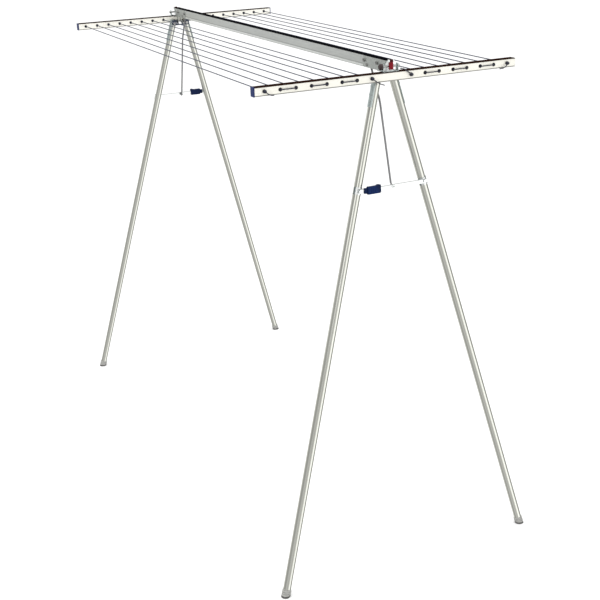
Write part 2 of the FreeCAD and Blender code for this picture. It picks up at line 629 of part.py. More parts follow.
# ---------------------------------------------------------------- head of an A-frame
def head_plate(frame):
    """U-shaped plate inside the legs: two arms, a strip below and two ears on the hinge pin."""
    y, s = frame.y_pivot, frame.s_pivot
    back = HEAD_INNER - HEAD_GAUGE
    inner, outer = y - HEAD_ARM_HALF, y + HEAD_ARM_HALF
    low, strip_top = -HEAD_LOW_S, -HEAD_LOW_S + HEAD_STRIP
    outline = [(-outer, -HEAD_TOP_S), (-outer, low + 4), (-outer + 4, low), (outer - 4, low),
               (outer, low + 4), (outer, -HEAD_TOP_S), (inner, -HEAD_TOP_S), (inner, strip_top),
               (-inner, strip_top), (-inner, -HEAD_TOP_S)]
    parts = [plate_yz(outline, back, HEAD_INNER)]
    knuckle = EAR_RADIUS - 0.5
    ear = [(back, low), (back, strip_top + 3), (-4, knuckle - 1.3), (0, knuckle - 0.1),
           (3, -knuckle + 0.8), (HEAD_INNER, low)]
    for sign in (-1, 1):
        y0, y1 = sorted((sign * HEAD_EAR_OUTER, sign * (HEAD_EAR_OUTER - HEAD_EAR_GAUGE)))
        parts.append(plate_xz(ear, y0, y1))
        parts.append(y_cylinder(knuckle, 0, 0, y0, y1))
    bore = y_cylinder(HINGE_PIN_RADIUS + RUN_CLEARANCE, 0, 0, -BEAM_WIDTH, BEAM_WIDTH)
    bolts = [x_cylinder(RIVET_RADIUS, sign * y, -s, back - 1, HEAD_INNER + 1) for sign in (-1, 1)]
    return frame.upright(fuse(parts).cut([bore] + bolts))


def leg_bolts(frame):
    """The bolts on which the two legs turn."""
    back = HEAD_INNER - HEAD_GAUGE
    bolts = []
    for sign in (-1, 1):
        y, z = sign * frame.y_pivot, -frame.s_pivot
        outer = LEG_RADIUS + PLAY
        shank = x_cylinder(RIVET_RADIUS, y, z, back, outer)
        inner_head = x_cylinder(RIVET_HEAD, y, z, back - 2.4, back)
        outer_head = x_cylinder(RIVET_HEAD, y, z, outer, outer + 2.4)
        bolts.append(fuse([shank, inner_head, outer_head]))
    return frame.upright(Part.makeCompound(bolts))


# ---------------------------------------------------------------- legs
def leg_tube(frame, hand):
    outer = cylinder(LEG_RADIUS, V(0, 0, frame.above), V(0, 0, -frame.below))
    inner = cylinder(LEG_RADIUS - LEG_WALL, V(0, 0, frame.above), V(0, 0, -frame.below))
    hole = x_cylinder(RIVET_RADIUS + RUN_CLEARANCE, 0, 0, -LEG_RADIUS - 1, LEG_RADIUS + 1)
    return frame.on_leg(outer.cut(inner).cut(hole), hand)


def leg_strap(frame, hand):
    """Half sleeve on the outer side of the leg's head, with its two rivets."""
    radius = LEG_RADIUS + STRAP_THICKNESS
    sleeve = arc_shell(LEG_RADIUS, radius, hand * 90, 58, frame.above - STRAP_LENGTH,
                       frame.above - 1)
    rivets = []
    for drop in STRAP_RIVET_DROPS:
        z = frame.above - drop
        rivets.append(y_cylinder(3.2, 0, z, *sorted((hand * (radius - 0.4), hand * (radius + 1.3)))))
    return frame.on_leg(fuse([sleeve] + rivets), hand)


def brace_saddle(frame, hand):
    """Half sleeve on the outer face of a leg that carries the end of the brace."""
    middle = -frame.to_brace
    low, high = middle - SADDLE_HEIGHT / 2, middle + SADDLE_HEIGHT / 2
    sleeve = arc_shell(LEG_RADIUS, LEG_RADIUS + STRAP_THICKNESS, 0, 78, low, high)
    return frame.on_leg(sleeve, hand)


def saddle_rivet(frame, hand):
    """Shouldered rivet that carries a link; the lock link has a taller shoulder."""
    z = -frame.to_brace
    link = LOCK_LINK_OUT if hand < 0 else PLAIN_LINK_OUT
    seat = LEG_RADIUS + STRAP_THICKNESS
    tip = link + LINK_THICKNESS + PLAY
    parts = [x_cylinder(RIVET_RADIUS, 0, z, seat, tip), x_cylinder(RIVET_HEAD, 0, z, tip, tip + 2)]
    if hand < 0:
        parts.append(x_cylinder(RIVET_HEAD - 1, 0, z, seat, link - PLAY))
    return frame.on_leg(fuse(parts), hand)


def foot(frame, hand):
    """Ribbed rubber cup on the end of a leg, cut flat where it stands on the floor."""
    low = -frame.to_floor - 8
    high = -frame.to_floor + FOOT_LENGTH
    body = cylinder(FOOT_RADIUS, V(0, 0, low), V(0, 0, high))
    ribs = []
    for step in range(FOOT_RIBS):
        z = high - 4 - step * 5.5
        ribs.append(cylinder(FOOT_RIB_RADIUS, V(0, 0, z - 2), V(0, 0, z)))
    base = cylinder(FOOT_RIB_RADIUS, V(0, 0, low), V(0, 0, -frame.to_floor + 7))
    shape = fuse([body, base] + ribs)
    shape = shape.cut(cylinder(LEG_RADIUS, V(0, 0, -frame.below), V(0, 0, high + 1)))
    placed = frame.on_leg(shape, hand)
    room = placed.BoundBox
    return placed.common(box(room.XMin - 1, room.XMax + 1, room.YMin - 1, room.YMax + 1,
                             0, room.ZMax + 1))


# ---------------------------------------------------------------- brace, stay and lock
def flat_link(length, inner_face, hand):
    """Flat bar with round ends, from its leg pivot to the middle of the brace."""
    x0, x1 = inner_face, inner_face + LINK_THICKNESS
    half = LINK_WIDTH / 2
    start, end = sorted((hand * length, 0))
    bar = box(x0, x1, start, end, -half, half)
    rounds = [x_cylinder(half, y, 0, x0, x1) for y in (start, end)]
    outer_hole = x_cylinder(RIVET_RADIUS + RUN_CLEARANCE, hand * length, 0, x0 - 1, x1 + 1)
    inner_hole = x_cylinder(RIVET_RADIUS, 0, 0, x0 - 1, x1 + 1)
    return fuse([bar] + rounds).cut([outer_hole, inner_hole])


def lock_link(frame):
    shape = flat_link(frame.half_brace, LOCK_LINK_OUT, -1)
    shape.translate(V(0, 0, -frame.s_brace))
    return frame.upright(shape)


def plain_link(frame):
    """The link without the lock; its inner hole runs on the swivel's stud."""
    shape = flat_link(frame.half_brace, PLAIN_LINK_OUT, 1)
    widen = x_cylinder(RIVET_RADIUS + RUN_CLEARANCE, 0, 0, PLAIN_LINK_OUT - 1,
                       PLAIN_LINK_OUT + LINK_THICKNESS + 1)
    shape = shape.cut(widen)
    shape.translate(V(0, 0, -frame.s_brace))
    return frame.upright(shape)


def centre_rivet(frame):
    """Rivet in the inner end of the lock link."""
    front = LOCK_LINK_OUT + LINK_THICKNESS
    shape = fuse([x_cylinder(RIVET_RADIUS, 0, 0, LOCK_LINK_OUT - 0.8, front),
                  x_cylinder(RIVET_HEAD, 0, 0, front, front + 2)])
    shape.translate(V(0, 0, -frame.s_brace))
    return frame.upright(shape)


def stay_swivel(frame):
    """Stud in the plain link, with a tab beside the lower eye of the stay rod."""
    front = PLAIN_LINK_OUT + LINK_THICKNESS
    stud = x_cylinder(RIVET_RADIUS, 0, 0, SWIVEL_STUD_OUT, front + 0.25)
    collar = x_cylinder(SWIVEL_RADIUS, 0, 0, SWIVEL_STUD_OUT, PLAIN_LINK_OUT - PLAY)
    y0, y1 = -SWIVEL_TAB - PLAY, -PLAY
    tab = box(STAY_END_OUT, PLAIN_LINK_OUT - PLAY, y0, y1, -SWIVEL_RADIUS, SWIVEL_RADIUS)
    end = y_cylinder(SWIVEL_RADIUS, STAY_END_OUT, 0, y0, y1)
    shape = fuse([stud, collar, tab, end])
    shape.translate(V(0, 0, -frame.s_brace))
    return frame.upright(shape)


def stay_rod(frame):
    """Bent round rod with a flat eye at each end."""
    x1, z1 = frame.stay_end()
    top, bottom = V(frame.stay_x, 0, STAY_Z), V(x1, 0, z1)
    along = bottom - top
    outwards = V(-along.z, 0, along.x).normalize()
    knee = top + along * STAY_BEND_AT + outwards * STAY_BEND
    upper, lower = (knee - top).normalize(), (bottom - knee).normalize()
    points = [top + upper * (EYE_RADIUS - 2), knee, bottom - lower * (EYE_RADIUS - 2)]
    rod = rounded_tube(points, [STAY_BEND_RADIUS], STAY_RADIUS)
    eyes = [y_cylinder(EYE_RADIUS, p.x, p.z, 0, EYE_THICKNESS) for p in (top, bottom)]
    room = [y_cylinder(EYE_RADIUS + 1.5, p.x, p.z, *span) for p in (top, bottom)
            for span in ((-STAY_RADIUS - 1, 0), (EYE_THICKNESS, STAY_RADIUS + 1))]
    shape = fuse([rod.cut(room)] + eyes)
    holes = [y_cylinder(STAY_PIN_RADIUS + RUN_CLEARANCE, top.x, top.z, -EYE_RADIUS, EYE_RADIUS),
             y_cylinder(STAY_PIN_RADIUS, bottom.x, bottom.z, -EYE_RADIUS, EYE_RADIUS)]
    return frame.to_world(shape.cut(holes))


def stay_eye_rivet(frame):
    """Rivet in the lower eye of the stay rod, flush on the side of the swivel."""
    x, z = frame.stay_end()
    return frame.to_world(y_cylinder(STAY_PIN_RADIUS, x, z, 0, EYE_THICKNESS + 1))


def brace_lock(frame):
    """Sliding plastic grip around the lock link: a body, a narrower nose and a thumb rise."""
    tip = -frame.half_brace + LOCK_START
    shoulder = tip + LOCK_NOSE
    end = shoulder + LOCK_LENGTH
    half = LOCK_HALF_WIDTH
    outline = [(shoulder, -half), (end - 3, -half), (end, -half + 3), (end, half + 1.0),
               (end - 3, half + 2.5), (end - 9, half + 2.5), (end - 15, half), (shoulder, half)]
    body = plate_yz(outline, LOCK_BACK, LOCK_FRONT)
    nose = box(LOCK_BACK, LOCK_FRONT - 3, tip, shoulder, -half + 3.5, half - 3.5)
    slot = box(LOCK_LINK_OUT - PLAY, LOCK_LINK_OUT + LINK_THICKNESS + PLAY, tip - 1, end + 1,
               -LINK_WIDTH / 2 - PLAY, LINK_WIDTH / 2 + PLAY)
    grooves = [box(LOCK_FRONT - 0.8, LOCK_FRONT + 1, y, y + 2, -half + 3, half - 3)
               for y in (shoulder + 10, shoulder + 16, shoulder + 22)]
    shape = fuse([body, nose]).cut([slot] + grooves)
    shape.translate(V(0, 0, -frame.s_brace))
    return frame.upright(shape)


# ---------------------------------------------------------------- export
def frames():
    return {name: Frame(side["turn"], side["short_of_flat"]) for name, side in SIDES.items()}


def hand_name(side, hand):
    """Left is -Y and right is +Y in the rack, so the far end swaps them."""
    rack_hand = hand if side == "near" else -hand
    return "left" if rack_hand < 0 else "right"


def top_frame_nodes(built):
    stay_pin_xs = [built["near"].stay_x, -built["far"].stay_x]
    nodes = {"beam": beam(stay_pin_xs), "beam_top_strip": beam_trim()}
    for name, build in (("crossbar", crossbar), ("crossbar_strip", crossbar_trim),
                        ("crossbar_bracket", crossbar_bracket), ("beam_end_plug", end_plug),
                        ("release_lever", release_lever)):
        near, far = both_ends(build)
        nodes[name + "_near"] = near
        nodes[name + "_far"] = far
    for name, build in (("crossbar_end_caps", crossbar_caps), ("crossbar_screws", crossbar_screws),
                        ("cross_bolts", cross_bolt), ("cross_bolt_caps", cross_bolt_cap),
                        ("beam_bolts", beam_bolts), ("hinge_pins", hinge_pin),
                        ("lever_pins", latch_pin)):
        nodes[name] = Part.makeCompound(both_ends(build))
    nodes["line_eyelets"] = eyelets()
    nodes["line_left_runs"] = line_runs(-1)
    nodes["line_right_runs"] = line_runs(1)
    nodes["line_turns"] = line_turns()
    nodes["line_knots"] = knots()
    return nodes


def frame_nodes(side, frame):
    nodes = {
        "hinge_bracket_" + side: hinge_bracket(frame),
        "head_plate_" + side: head_plate(frame),
        "leg_bolts_" + side: leg_bolts(frame),
        "brace_lock_link_" + side: lock_link(frame),
        "brace_plain_link_" + side: plain_link(frame),
        "brace_centre_rivet_" + side: centre_rivet(frame),
        "brace_lock_" + side: brace_lock(frame),
        "stay_swivel_" + side: stay_swivel(frame),
        "stay_rod_" + side: Part.makeCompound([stay_rod(frame), stay_eye_rivet(frame)]),
    }
    for hand in (-1, 1):
        suffix = side + "_" + hand_name(side, hand)
        nodes["leg_tube_" + suffix] = leg_tube(frame, hand)
        nodes["leg_strap_" + suffix] = leg_strap(frame, hand)
        nodes["brace_saddle_" + suffix] = Part.makeCompound([brace_saddle(frame, hand),
                                                             saddle_rivet(frame, hand)])
        nodes["foot_" + suffix] = foot(frame, hand)
    return nodes


def main():
    os.makedirs("parts", exist_ok=True)
    built = frames()
    nodes = top_frame_nodes(built)
    nodes["stay_pins"] = Part.makeCompound([stay_pin(frame) for frame in built.values()])
    for side, frame in built.items():
        nodes.update(frame_nodes(side, frame))
    for name, shape in sorted(nodes.items()):
        shape.exportStep("parts/" + name + ".step")
    print(len(nodes), "nodes written")


main()
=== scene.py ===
"""Clothes drying rack: finishes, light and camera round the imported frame."""

import json
import math

import bpy
from mathutils import Matrix, Vector


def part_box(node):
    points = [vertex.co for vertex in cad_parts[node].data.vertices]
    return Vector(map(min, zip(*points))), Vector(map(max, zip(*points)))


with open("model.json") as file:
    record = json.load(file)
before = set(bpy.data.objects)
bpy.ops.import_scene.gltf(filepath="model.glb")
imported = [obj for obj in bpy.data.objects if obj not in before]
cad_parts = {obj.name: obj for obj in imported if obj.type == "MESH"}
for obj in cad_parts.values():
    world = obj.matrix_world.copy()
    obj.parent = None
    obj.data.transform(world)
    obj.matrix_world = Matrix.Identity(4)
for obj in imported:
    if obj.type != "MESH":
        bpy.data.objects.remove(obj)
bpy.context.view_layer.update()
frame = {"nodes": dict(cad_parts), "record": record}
NODES = frame["nodes"]
SLOT_OF = {part["node"]: part["material_slot"] for part in frame["record"]["subparts"]}

MM = 0.001

# ---------------------------------------------------------------- colours, linear
BARE = (0.69, 0.695, 0.645)
CREAM = (0.80, 0.785, 0.72)
BEAM_GREY = (0.66, 0.68, 0.66)
TEAL_ZINC = (0.55, 0.62, 0.61)
PALE_ZINC = (0.86, 0.88, 0.88)
DULL_ZINC = (0.56, 0.585, 0.56)
CUT_ZINC = (0.22, 0.27, 0.28)
# dark bluish colour of the head plates, read off plates in shadow: partly their own colour, partly
# painted shade
PLATE_BLUE_AND_SHADE = (0.05, 0.062, 0.09)
FASTENER = (0.34, 0.34, 0.33)
RIVET = (0.80, 0.82, 0.82)
# painted shade for the bore at the middle of each rivet head
RIVET_BORE_SHADE = (0.04, 0.04, 0.045)
ROD = (0.27, 0.27, 0.28)
BLACK_TRIM = (0.003, 0.003, 0.004)
BROWN_TRIM = (0.014, 0.006, 0.004)
LOCK_BLUE = (0.003, 0.017, 0.085)
CAP_BLUE = (0.003, 0.014, 0.085)
CAP_BLUES = ((0.003, 0.012, 0.072), (0.004, 0.018, 0.10))
# pale tones that paint a highlight over the whole cap at +x, +y
CAP_HIGHLIGHT_WHITES = ((0.70, 0.70, 0.68), (0.80, 0.80, 0.77))
CHARCOAL = (0.03, 0.018, 0.018)
WHITE = (0.72, 0.74, 0.73)
RED = (0.16, 0.002, 0.008)
BUSH_BLACK = (0.004, 0.004, 0.009)
SLATE = (0.035, 0.042, 0.07)
DARK_SLATE = (0.008, 0.010, 0.024)
FOOT_GREY = (0.36, 0.36, 0.345)
DUST = (0.52, 0.51, 0.48)

# ---------------------------------------------------------------- grain
MOULD_GRAIN = 2600.0             # noise scale of moulded plastic
MOULD_STRENGTH = 0.18
MOULD_DEPTH = 0.00012            # metres
METAL_DEPTH = 0.0001
CRYSTALS = 260.0                 # zinc crystals along each metre
ROD_TURN = (0, math.radians(72), 0)

# ---------------------------------------------------------------- rounded and split edges
# width of the rounding along the edges of each slot's nodes, in millimetres
ROUNDED = {"aluminium_bar": 0.9, "aluminium_beam": 0.5, "black_strip": 0.5, "brown_strip": 0.5,
           "blue_plastic": 1.1, "dark_cap": 0.8, "white_plastic": 0.5, "red_plastic": 0.9}
ROUND_ABOVE = math.radians(50)
SPLIT_ABOVE = math.radians(32)

# ---------------------------------------------------------------- studio
FLOOR_SIZE = 160
FLOOR_GREY = (0.82, 0.82, 0.82)
FLOOR_GREYS = ((0.81, 0.81, 0.81), (0.83, 0.83, 0.83))
WHITE_LIGHT = (1, 1, 1)
STUDIO_STRENGTH = 1.5
STUDIO_WARMTH = 0.985            # blue of each grey, as a share of its red
LAMP_WATTS = 60
# brightness of the studio round the rack, by share of a turn; 0.5 is +x
LEFT_SIDE = [(0.0, 0.60), (0.06, 0.60), (0.11, 0.55), (0.16, 0.36), (0.22, 0.26), (0.29, 0.34)]
RIGHT_SIDE = [(0.50, 0.55), (0.54, 0.95), (0.58, 1.0), (0.63, 0.95), (0.665, 0.30), (0.70, 0.12),
              (0.75, 0.28), (0.81, 0.55), (0.90, 0.65), (1.0, 0.60)]
BELOW_HORIZON = [(0.36, 0.46), (0.43, 0.38), (0.47, 0.42)]
ABOVE_HORIZON = [(0.33, 0.34), (0.35, 1.0), (0.40, 1.0), (0.425, 0.30), (0.47, 0.34)]
# how far each takes over, by the upward part of the direction
WALLS_RISE = [(0.0, 0.0), (0.06, 0.0), (0.13, 1.0)]
CEILING_RISE = [(0.0, 0.0), (0.3, 0.0), (0.6, 1.0)]

# ---------------------------------------------------------------- camera, metres
CAMERA_PLACE = (3.64453, -1.59387, 2.08317)
CAMERA_FORWARD = Vector((-0.84629, 0.39590, -0.35645))
CAMERA_DOWN = Vector((0.30825, -0.18179, -0.93377))
LENS_MM = 66.156
SENSOR_MM = 36.0
FAR_CLIP = 300


# ---------------------------------------------------------------- node graphs
def shade(colour, factor):
    return tuple(min(1.0, channel * factor) for channel in colour)


def solid(value):
    """A colour of three channels as four, and anything else as it is."""
    return (*value, 1) if isinstance(value, tuple) and len(value) == 3 else value


class Nodes:
    """Short calls to add and join the nodes of one tree."""

    def __init__(self, tree):
        self.nodes, self.links = tree.nodes, tree.links

    def set(self, node, inputs):
        for key, value in inputs.items():
            if isinstance(value, bpy.types.NodeSocket):
                self.links.new(value, node.inputs[key])
            else:
                node.inputs[key].default_value = value

    def add(self, kind, inputs=None, **settings):
        node = self.nodes.new("ShaderNode" + kind)
        for key, value in settings.items():
            setattr(node, key, value)
        self.set(node, inputs or {})
        return node

    def split(self, vector):
        return self.add("SeparateXYZ", {"Vector": vector}).outputs

    def ramp(self, value, stops, interpolation="LINEAR"):
        """A colour or grey ramp; stops are (position, colour or grey)."""
        node = self.add("ValToRGB", {"Fac": value})
        node.color_ramp.interpolation = interpolation
        elements = node.color_ramp.elements
        while len(elements) < len(stops):
            elements.new(0.5)
        for element, (position, colour) in zip(elements, stops):
            element.position = position
            grey = isinstance(colour, (int, float))
            element.color = (colour, colour, colour, 1) if grey else (*colour, 1)
        return node.outputs["Color"]

    def math(self, operation, *values):
        node = self.add("Math", operation=operation)
        for index, value in enumerate(values):
            self.set(node, {index: value})
        return node.outputs[0]

    def mix(self, factor, first, second, blend="MIX"):
        node = self.add("Mix", data_type="RGBA", blend_type=blend)
        self.set(node, {0: factor, 6: solid(first), 7: solid(second)})
        return node.outputs[2]


class Graph(Nodes):
    """A material and its principled shader."""

    def __init__(self, name, colour, roughness, metallic=0.0, specular=0.5):
        self.material = bpy.data.materials.new(name)
        self.material.use_nodes = True
        super().__init__(self.material.node_tree)
        self.shader = self.nodes["Principled BSDF"]
        self.material.diffuse_color = (*colour, 1)
        self.set(self.shader, {"Base Color": (*colour, 1), "Roughness": roughness,
                               "Metallic": metallic, "Specular IOR Level": specular})

    def place(self):
        return self.add("TexCoord").outputs["Object"]

    def coords(self, scale, turn=(0, 0, 0)):
        """Object coordinates in metres, turned and then scaled."""
        turned = self.add("Mapping", {"Vector": self.place(), "Rotation": turn})
        return self.add("Mapping", {"Vector": turned.outputs[0], "Scale": scale}).outputs[0]

    def noise(self, vector, scale=1.0, detail=3.0, rough=0.5):
        node = self.add("TexNoise", {"Vector": vector, "Scale": scale, "Detail": detail,
                                     "Roughness": rough})
        return node.outputs["Fac"]

    def grain(self):
        return self.noise(self.coords((1, 1, 1)), MOULD_GRAIN, 2.0)

    def blend(self, first, second, share):
        """Sum of two values, the first with this share and the second with the rest."""
        return self.math("ADD", self.math("MULTIPLY", first, share),
                         self.math("MULTIPLY", second, 1 - share))

    def mottled(self, value, colour, dark, light, low=0.3, high=0.7):
        """From a darker to a lighter shade of the colour, as the value rises."""
        return self.ramp(value, [(low, shade(colour, dark)), (high, shade(colour, light))])

    def banded(self, tint, bands):
        """The tint times a tone that follows the height above the floor, in millimetres."""
        low, high = bands[0][0], bands[-1][0]
        share = self.add("MapRange", {"Value": self.split(self.place())["Z"],
                                      "From Min": low * MM, "From Max": high * MM})
        stops = [((level - low) / (high - low), tone) for level, tone in bands]
        return self.mix(1.0, tint, self.ramp(share.outputs[0], stops), "MULTIPLY")

    def bump(self, height, strength, distance):
        return self.add("Bump", {"Height": height, "Strength": strength,
                                 "Distance": distance}).outputs[0]

    def finish(self, colour, rough, normal):
        self.set(self.shader, {"Base Color": colour, "Roughness": rough, "Normal": normal})
        return self.material


def levels(node):
    """Lowest and highest level of a CAD node, in millimetres."""
    low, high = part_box(node)
    return low.z / MM, high.z / MM


# ---------------------------------------------------------------- kinds of finish
def drawn_metal(name, colour, turn, rough):
    """Metal drawn along the x axis of its turned coordinates: fine streaks and smudges."""
    g = Graph(name, colour, rough, 1.0)
    streaks = g.noise(g.coords((5, 700, 700), turn), 1.0, 4.0, 0.6)
    broad = g.noise(g.coords((1.5, 60, 60), turn), 1.0, 2.0)
    tint = g.mottled(g.blend(streaks, broad, 0.6), colour, 0.9, 1.1)
    smudge = g.noise(g.coords((14, 14, 14)), 1.0, 5.0, 0.6)
    rough_map = g.ramp(g.blend(streaks, smudge, 0.5), [(0.3, rough * 0.8), (0.7, rough * 1.3)])
    return g.finish(tint, rough_map, g.bump(streaks, 0.12, METAL_DEPTH))


def zinc(name, colour, rough=0.42, cut=None):
    """Galvanised sheet: crystals of slightly different brightness, small marks, cut edges."""
    g = Graph(name, colour, rough, 1.0)
    crystals = g.add("TexVoronoi", {"Vector": g.coords((1, 1, 1)), "Scale": CRYSTALS},
                     feature="F1").outputs["Color"]
    level = g.add("SeparateColor", {"Color": crystals}).outputs[0]
    tint = g.mottled(level, colour, 0.86, 1.1, low=0.0, high=1.0)
    marks = g.noise(g.coords((300, 300, 300)), 1.0, 6.0, 0.7)
    stained = g.mix(g.ramp(marks, [(0.55, 0.0), (0.75, 0.35)]), tint, shade(colour, 0.6))
    if cut:
        facing = g.split(g.add("TexCoord").outputs["Normal"])["X"]
        edges = g.ramp(g.math("ABSOLUTE", facing), [(0.45, 1.0), (0.7, 0.0)])
        stained = g.mix(edges, stained, cut)
    rough_map = g.ramp(level, [(0.0, rough * 0.8), (1.0, rough * 1.25)])
    return g.finish(stained, rough_map, g.bump(marks, 0.15, METAL_DEPTH))


def moulded(name, colour, rough, specular=0.5, worn=1.35):
    """Moulded plastic: fine grain, faint cloudiness, and edges worn times as bright: paler, rubbed
    edges where worn is above 1, darker edges where it is below.
    """
    g = Graph(name, colour, rough, 0.0, specular)
    cloud = g.noise(g.coords((45, 45, 45)), 1.0, 4.0, 0.6)
    body = g.mottled(cloud, colour, 0.86, 1.12, high=0.72)
    edge = g.add("NewGeometry").outputs["Pointiness"]
    rubbed = g.mix(g.ramp(edge, [(0.51, 0.0), (0.60, 0.8)]), body, shade(colour, worn))
    fine = g.grain()
    rough_map = g.ramp(g.blend(fine, cloud, 0.5),
                       [(0.3, rough * 0.85), (0.7, min(1.0, rough * 1.2))])
    return g.finish(rubbed, rough_map, g.bump(fine, MOULD_STRENGTH, MOULD_DEPTH))


def sheathed_cord(name, colour):
    """Smooth sheath over a laid core: a faint slanting rib and a soft bloom."""
    g = Graph(name, colour, 0.5)
    rib = g.add("TexWave", {"Vector": g.coords((190, 60, 60)), "Scale": 1.0, "Distortion": 1.2,
                            "Detail": 2.0}, wave_type="BANDS",
                bands_direction="DIAGONAL").outputs["Fac"]
    bloom = g.noise(g.coords((25, 300, 300)), 1.0, 4.0, 0.6)
    tint = g.mottled(g.blend(rib, bloom, 0.35), colour, 0.75, 1.3, low=0.25, high=0.75)
    return g.finish(tint, g.ramp(bloom, [(0.3, 0.42), (0.7, 0.6)]), g.bump(rib, 0.35, 0.0004))


# ---------------------------------------------------------------- finishes of single parts
def foot_finish():
    """Grey rubber with three dark bands of painted shade for the grooves between its ribs, a black
    sole, and dust on it.
    """
    g = Graph("grey_rubber", FOOT_GREY, 0.6)
    reach, half_band, dark = 30.0, 0.06, shade(FOOT_GREY, 0.42)
    height = g.split(g.place())["Z"]
    stops = [(0.0, shade(FOOT_GREY, 0.10)), (0.18, shade(FOOT_GREY, 0.14)), (0.26, FOOT_GREY)]
    # painted shade: three dark bands for the grooves between the foot's ribs
    for middle in (0.41, 0.62, 0.84):
        stops += [(middle - half_band, FOOT_GREY), (middle, dark), (middle + half_band, FOOT_GREY)]
    fall = g.ramp(g.math("MULTIPLY", height, 1 / (reach * MM)), stops)
    dust = g.noise(g.coords((160, 160, 160)), 1.0, 5.0, 0.65)
    tint = g.mix(g.ramp(dust, [(0.45, 0.0), (0.8, 0.4)]), fall, DUST)
    fine = g.noise(g.coords((1, 1, 1)), 1800.0, 3.0)
    return g.finish(tint, g.ramp(dust, [(0.3, 0.5), (0.7, 0.75)]), g.bump(fine, 0.3, 0.0002))


def cap_finish():
    """Blue caps; the one at +x, +y is white, a painted highlight over a cap of the same blue
    plastic.
    """
    g = Graph("end_cap_plastic", CAP_BLUE, 0.45, specular=0.15)
    split = g.split(g.place())
    # painted highlight: the cap at +x, +y takes the pale tones instead of blue
    white = g.math("MULTIPLY", g.math("GREATER_THAN", split["X"], 0.0),
                   g.math("GREATER_THAN", split["Y"], 0.0))
    cloud = g.noise(g.coords((45, 45, 45)), 1.0, 4.0, 0.6)
    blue, pale = (g.ramp(cloud, list(zip((0.3, 0.72), pair))) for pair in (CAP_BLUES, CAP_HIGHLIGHT_WHITES))
    fine = g.grain()
    return g.finish(g.mix(white, blue, pale), g.ramp(fine, [(0.3, 0.38), (0.7, 0.52)]),
                    g.bump(fine, MOULD_STRENGTH, MOULD_DEPTH))


def beam_finish():
    """Satin extrusion: a painted highlight makes it paler along the lower rib, and painted shade
    darkens thin lines at the rib's two edges.
    """
    g = Graph("beam_aluminium", BEAM_GREY, 0.4, 1.0)
    streaks = g.noise(g.coords((4, 500, 500)), 1.0, 4.0, 0.6)
    cloud = g.noise(g.coords((5, 40, 40)), 1.0, 3.0)
    tint = g.mottled(g.blend(streaks, cloud, 0.6), BEAM_GREY, 0.9, 1.12)
    foot, top = levels("beam")
    # painted highlight on the lower rib, 2.4 to 6.6 mm above the beam's foot; painted shade in
    # darker lines at the bottom edge and just above the rib
    tint = g.banded(tint, [(foot, 0.6), (foot + 1.4, 0.75), (foot + 2.4, 1.40),
                           (foot + 6.6, 1.45), (foot + 7.6, 0.72), (foot + 9.2, 0.72),
                           (foot + 10.5, 1.0), (top, 1.0)])
    return g.finish(tint, g.ramp(streaks, [(0.3, 0.32), (0.7, 0.5)]),
                    g.bump(streaks, 0.12, METAL_DEPTH))


def bar_finish():
    """Pale anodised bar: metal under a cream film, drawn along the bar, with a few scuffs, and
    painted shade along its lower edge.
    """
    g = Graph("cream_anodised_bar", CREAM, 0.38, 0.35)
    streaks = g.noise(g.coords((600, 3, 600)), 1.0, 4.0, 0.6)
    cloud = g.noise(g.coords((9, 9, 9)), 1.0, 4.0)
    tint = g.mottled(g.blend(streaks, cloud, 0.5), CREAM, 0.9, 1.08)
    scuffs = g.ramp(g.noise(g.coords((900, 30, 700)), 1.0, 2.0), [(0.68, 0.0), (0.74, 0.5)])
    tint = g.mix(scuffs, tint, shade(CREAM, 0.55))
    foot = levels("crossbar_near")[0]
    # painted shade: the lowest 3 mm are darkened to about a third, where the rounded lower edge
    # turns from the light
    tint = g.banded(tint, [(foot, 0.30), (foot + 2.2, 0.34), (foot + 3.4, 1.0),
                           (foot + 26.0, 1.0)])
    return g.finish(tint, g.ramp(streaks, [(0.3, 0.3), (0.7, 0.48)]),
                    g.bump(streaks, 0.1, METAL_DEPTH))


def link_finish():
    """Bright zinc bar, darker in a band along its upper edge and in a thin one along its lower
    edge: painted shade.
    """
    g = Graph("bright_zinc_link", PALE_ZINC, 0.3, 1.0)
    cloud = g.noise(g.coords((60, 60, 60)), 1.0, 5.0, 0.6)
    tint = g.mottled(cloud, PALE_ZINC, 0.88, 1.1)
    foot, top = levels("brace_plain_link_near")
    # painted shade: the lowest 0.8 mm and the top 2.6 mm are darkened to about half
    tint = g.banded(tint, [(foot, 0.5), (foot + 0.8, 1.0), (top - 2.6, 1.0), (top - 1.9, 0.52),
                           (top, 0.52)])
    return g.finish(tint, g.ramp(cloud, [(0.3, 0.25), (0.7, 0.4)]),
                    g.bump(cloud, 0.1, METAL_DEPTH))


def rivet_finish():
    """Bright rivets with a dark spot of painted shade at the middle of each head, where a hollow
    rivet has its bore; these heads are solid.
    """
    g = Graph("hollow_rivet", RIVET, 0.35, 1.0)
    low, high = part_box("brace_centre_rivet_near")
    painted_bore_reach = 4 * MM
    offset = g.add("VectorMath", {0: g.place(), 1: (0, 0, (low.z + high.z) / 2)},
                   operation="SUBTRACT")
    across = g.add("VectorMath", {0: offset.outputs[0], 1: (0, 1, 1)}, operation="MULTIPLY")
    radius = g.add("VectorMath", {0: across.outputs[0]}, operation="LENGTH").outputs["Value"]
    # painted shade: dark within the bore's reach of the rivet's middle
    painted_bore = g.ramp(g.math("MULTIPLY", radius, 1 / painted_bore_reach), [(0.38, 1.0), (0.46, 0.0)])
    marks = g.noise(g.coords((300, 300, 300)), 1.0, 5.0, 0.6)
    tint = g.mottled(marks, RIVET, 0.85, 1.05, low=0.35)
    return g.finish(g.mix(painted_bore, tint, RIVET_BORE_SHADE), g.ramp(marks, [(0.3, 0.3), (0.7, 0.45)]),
                    g.bump(marks, 0.12, METAL_DEPTH))


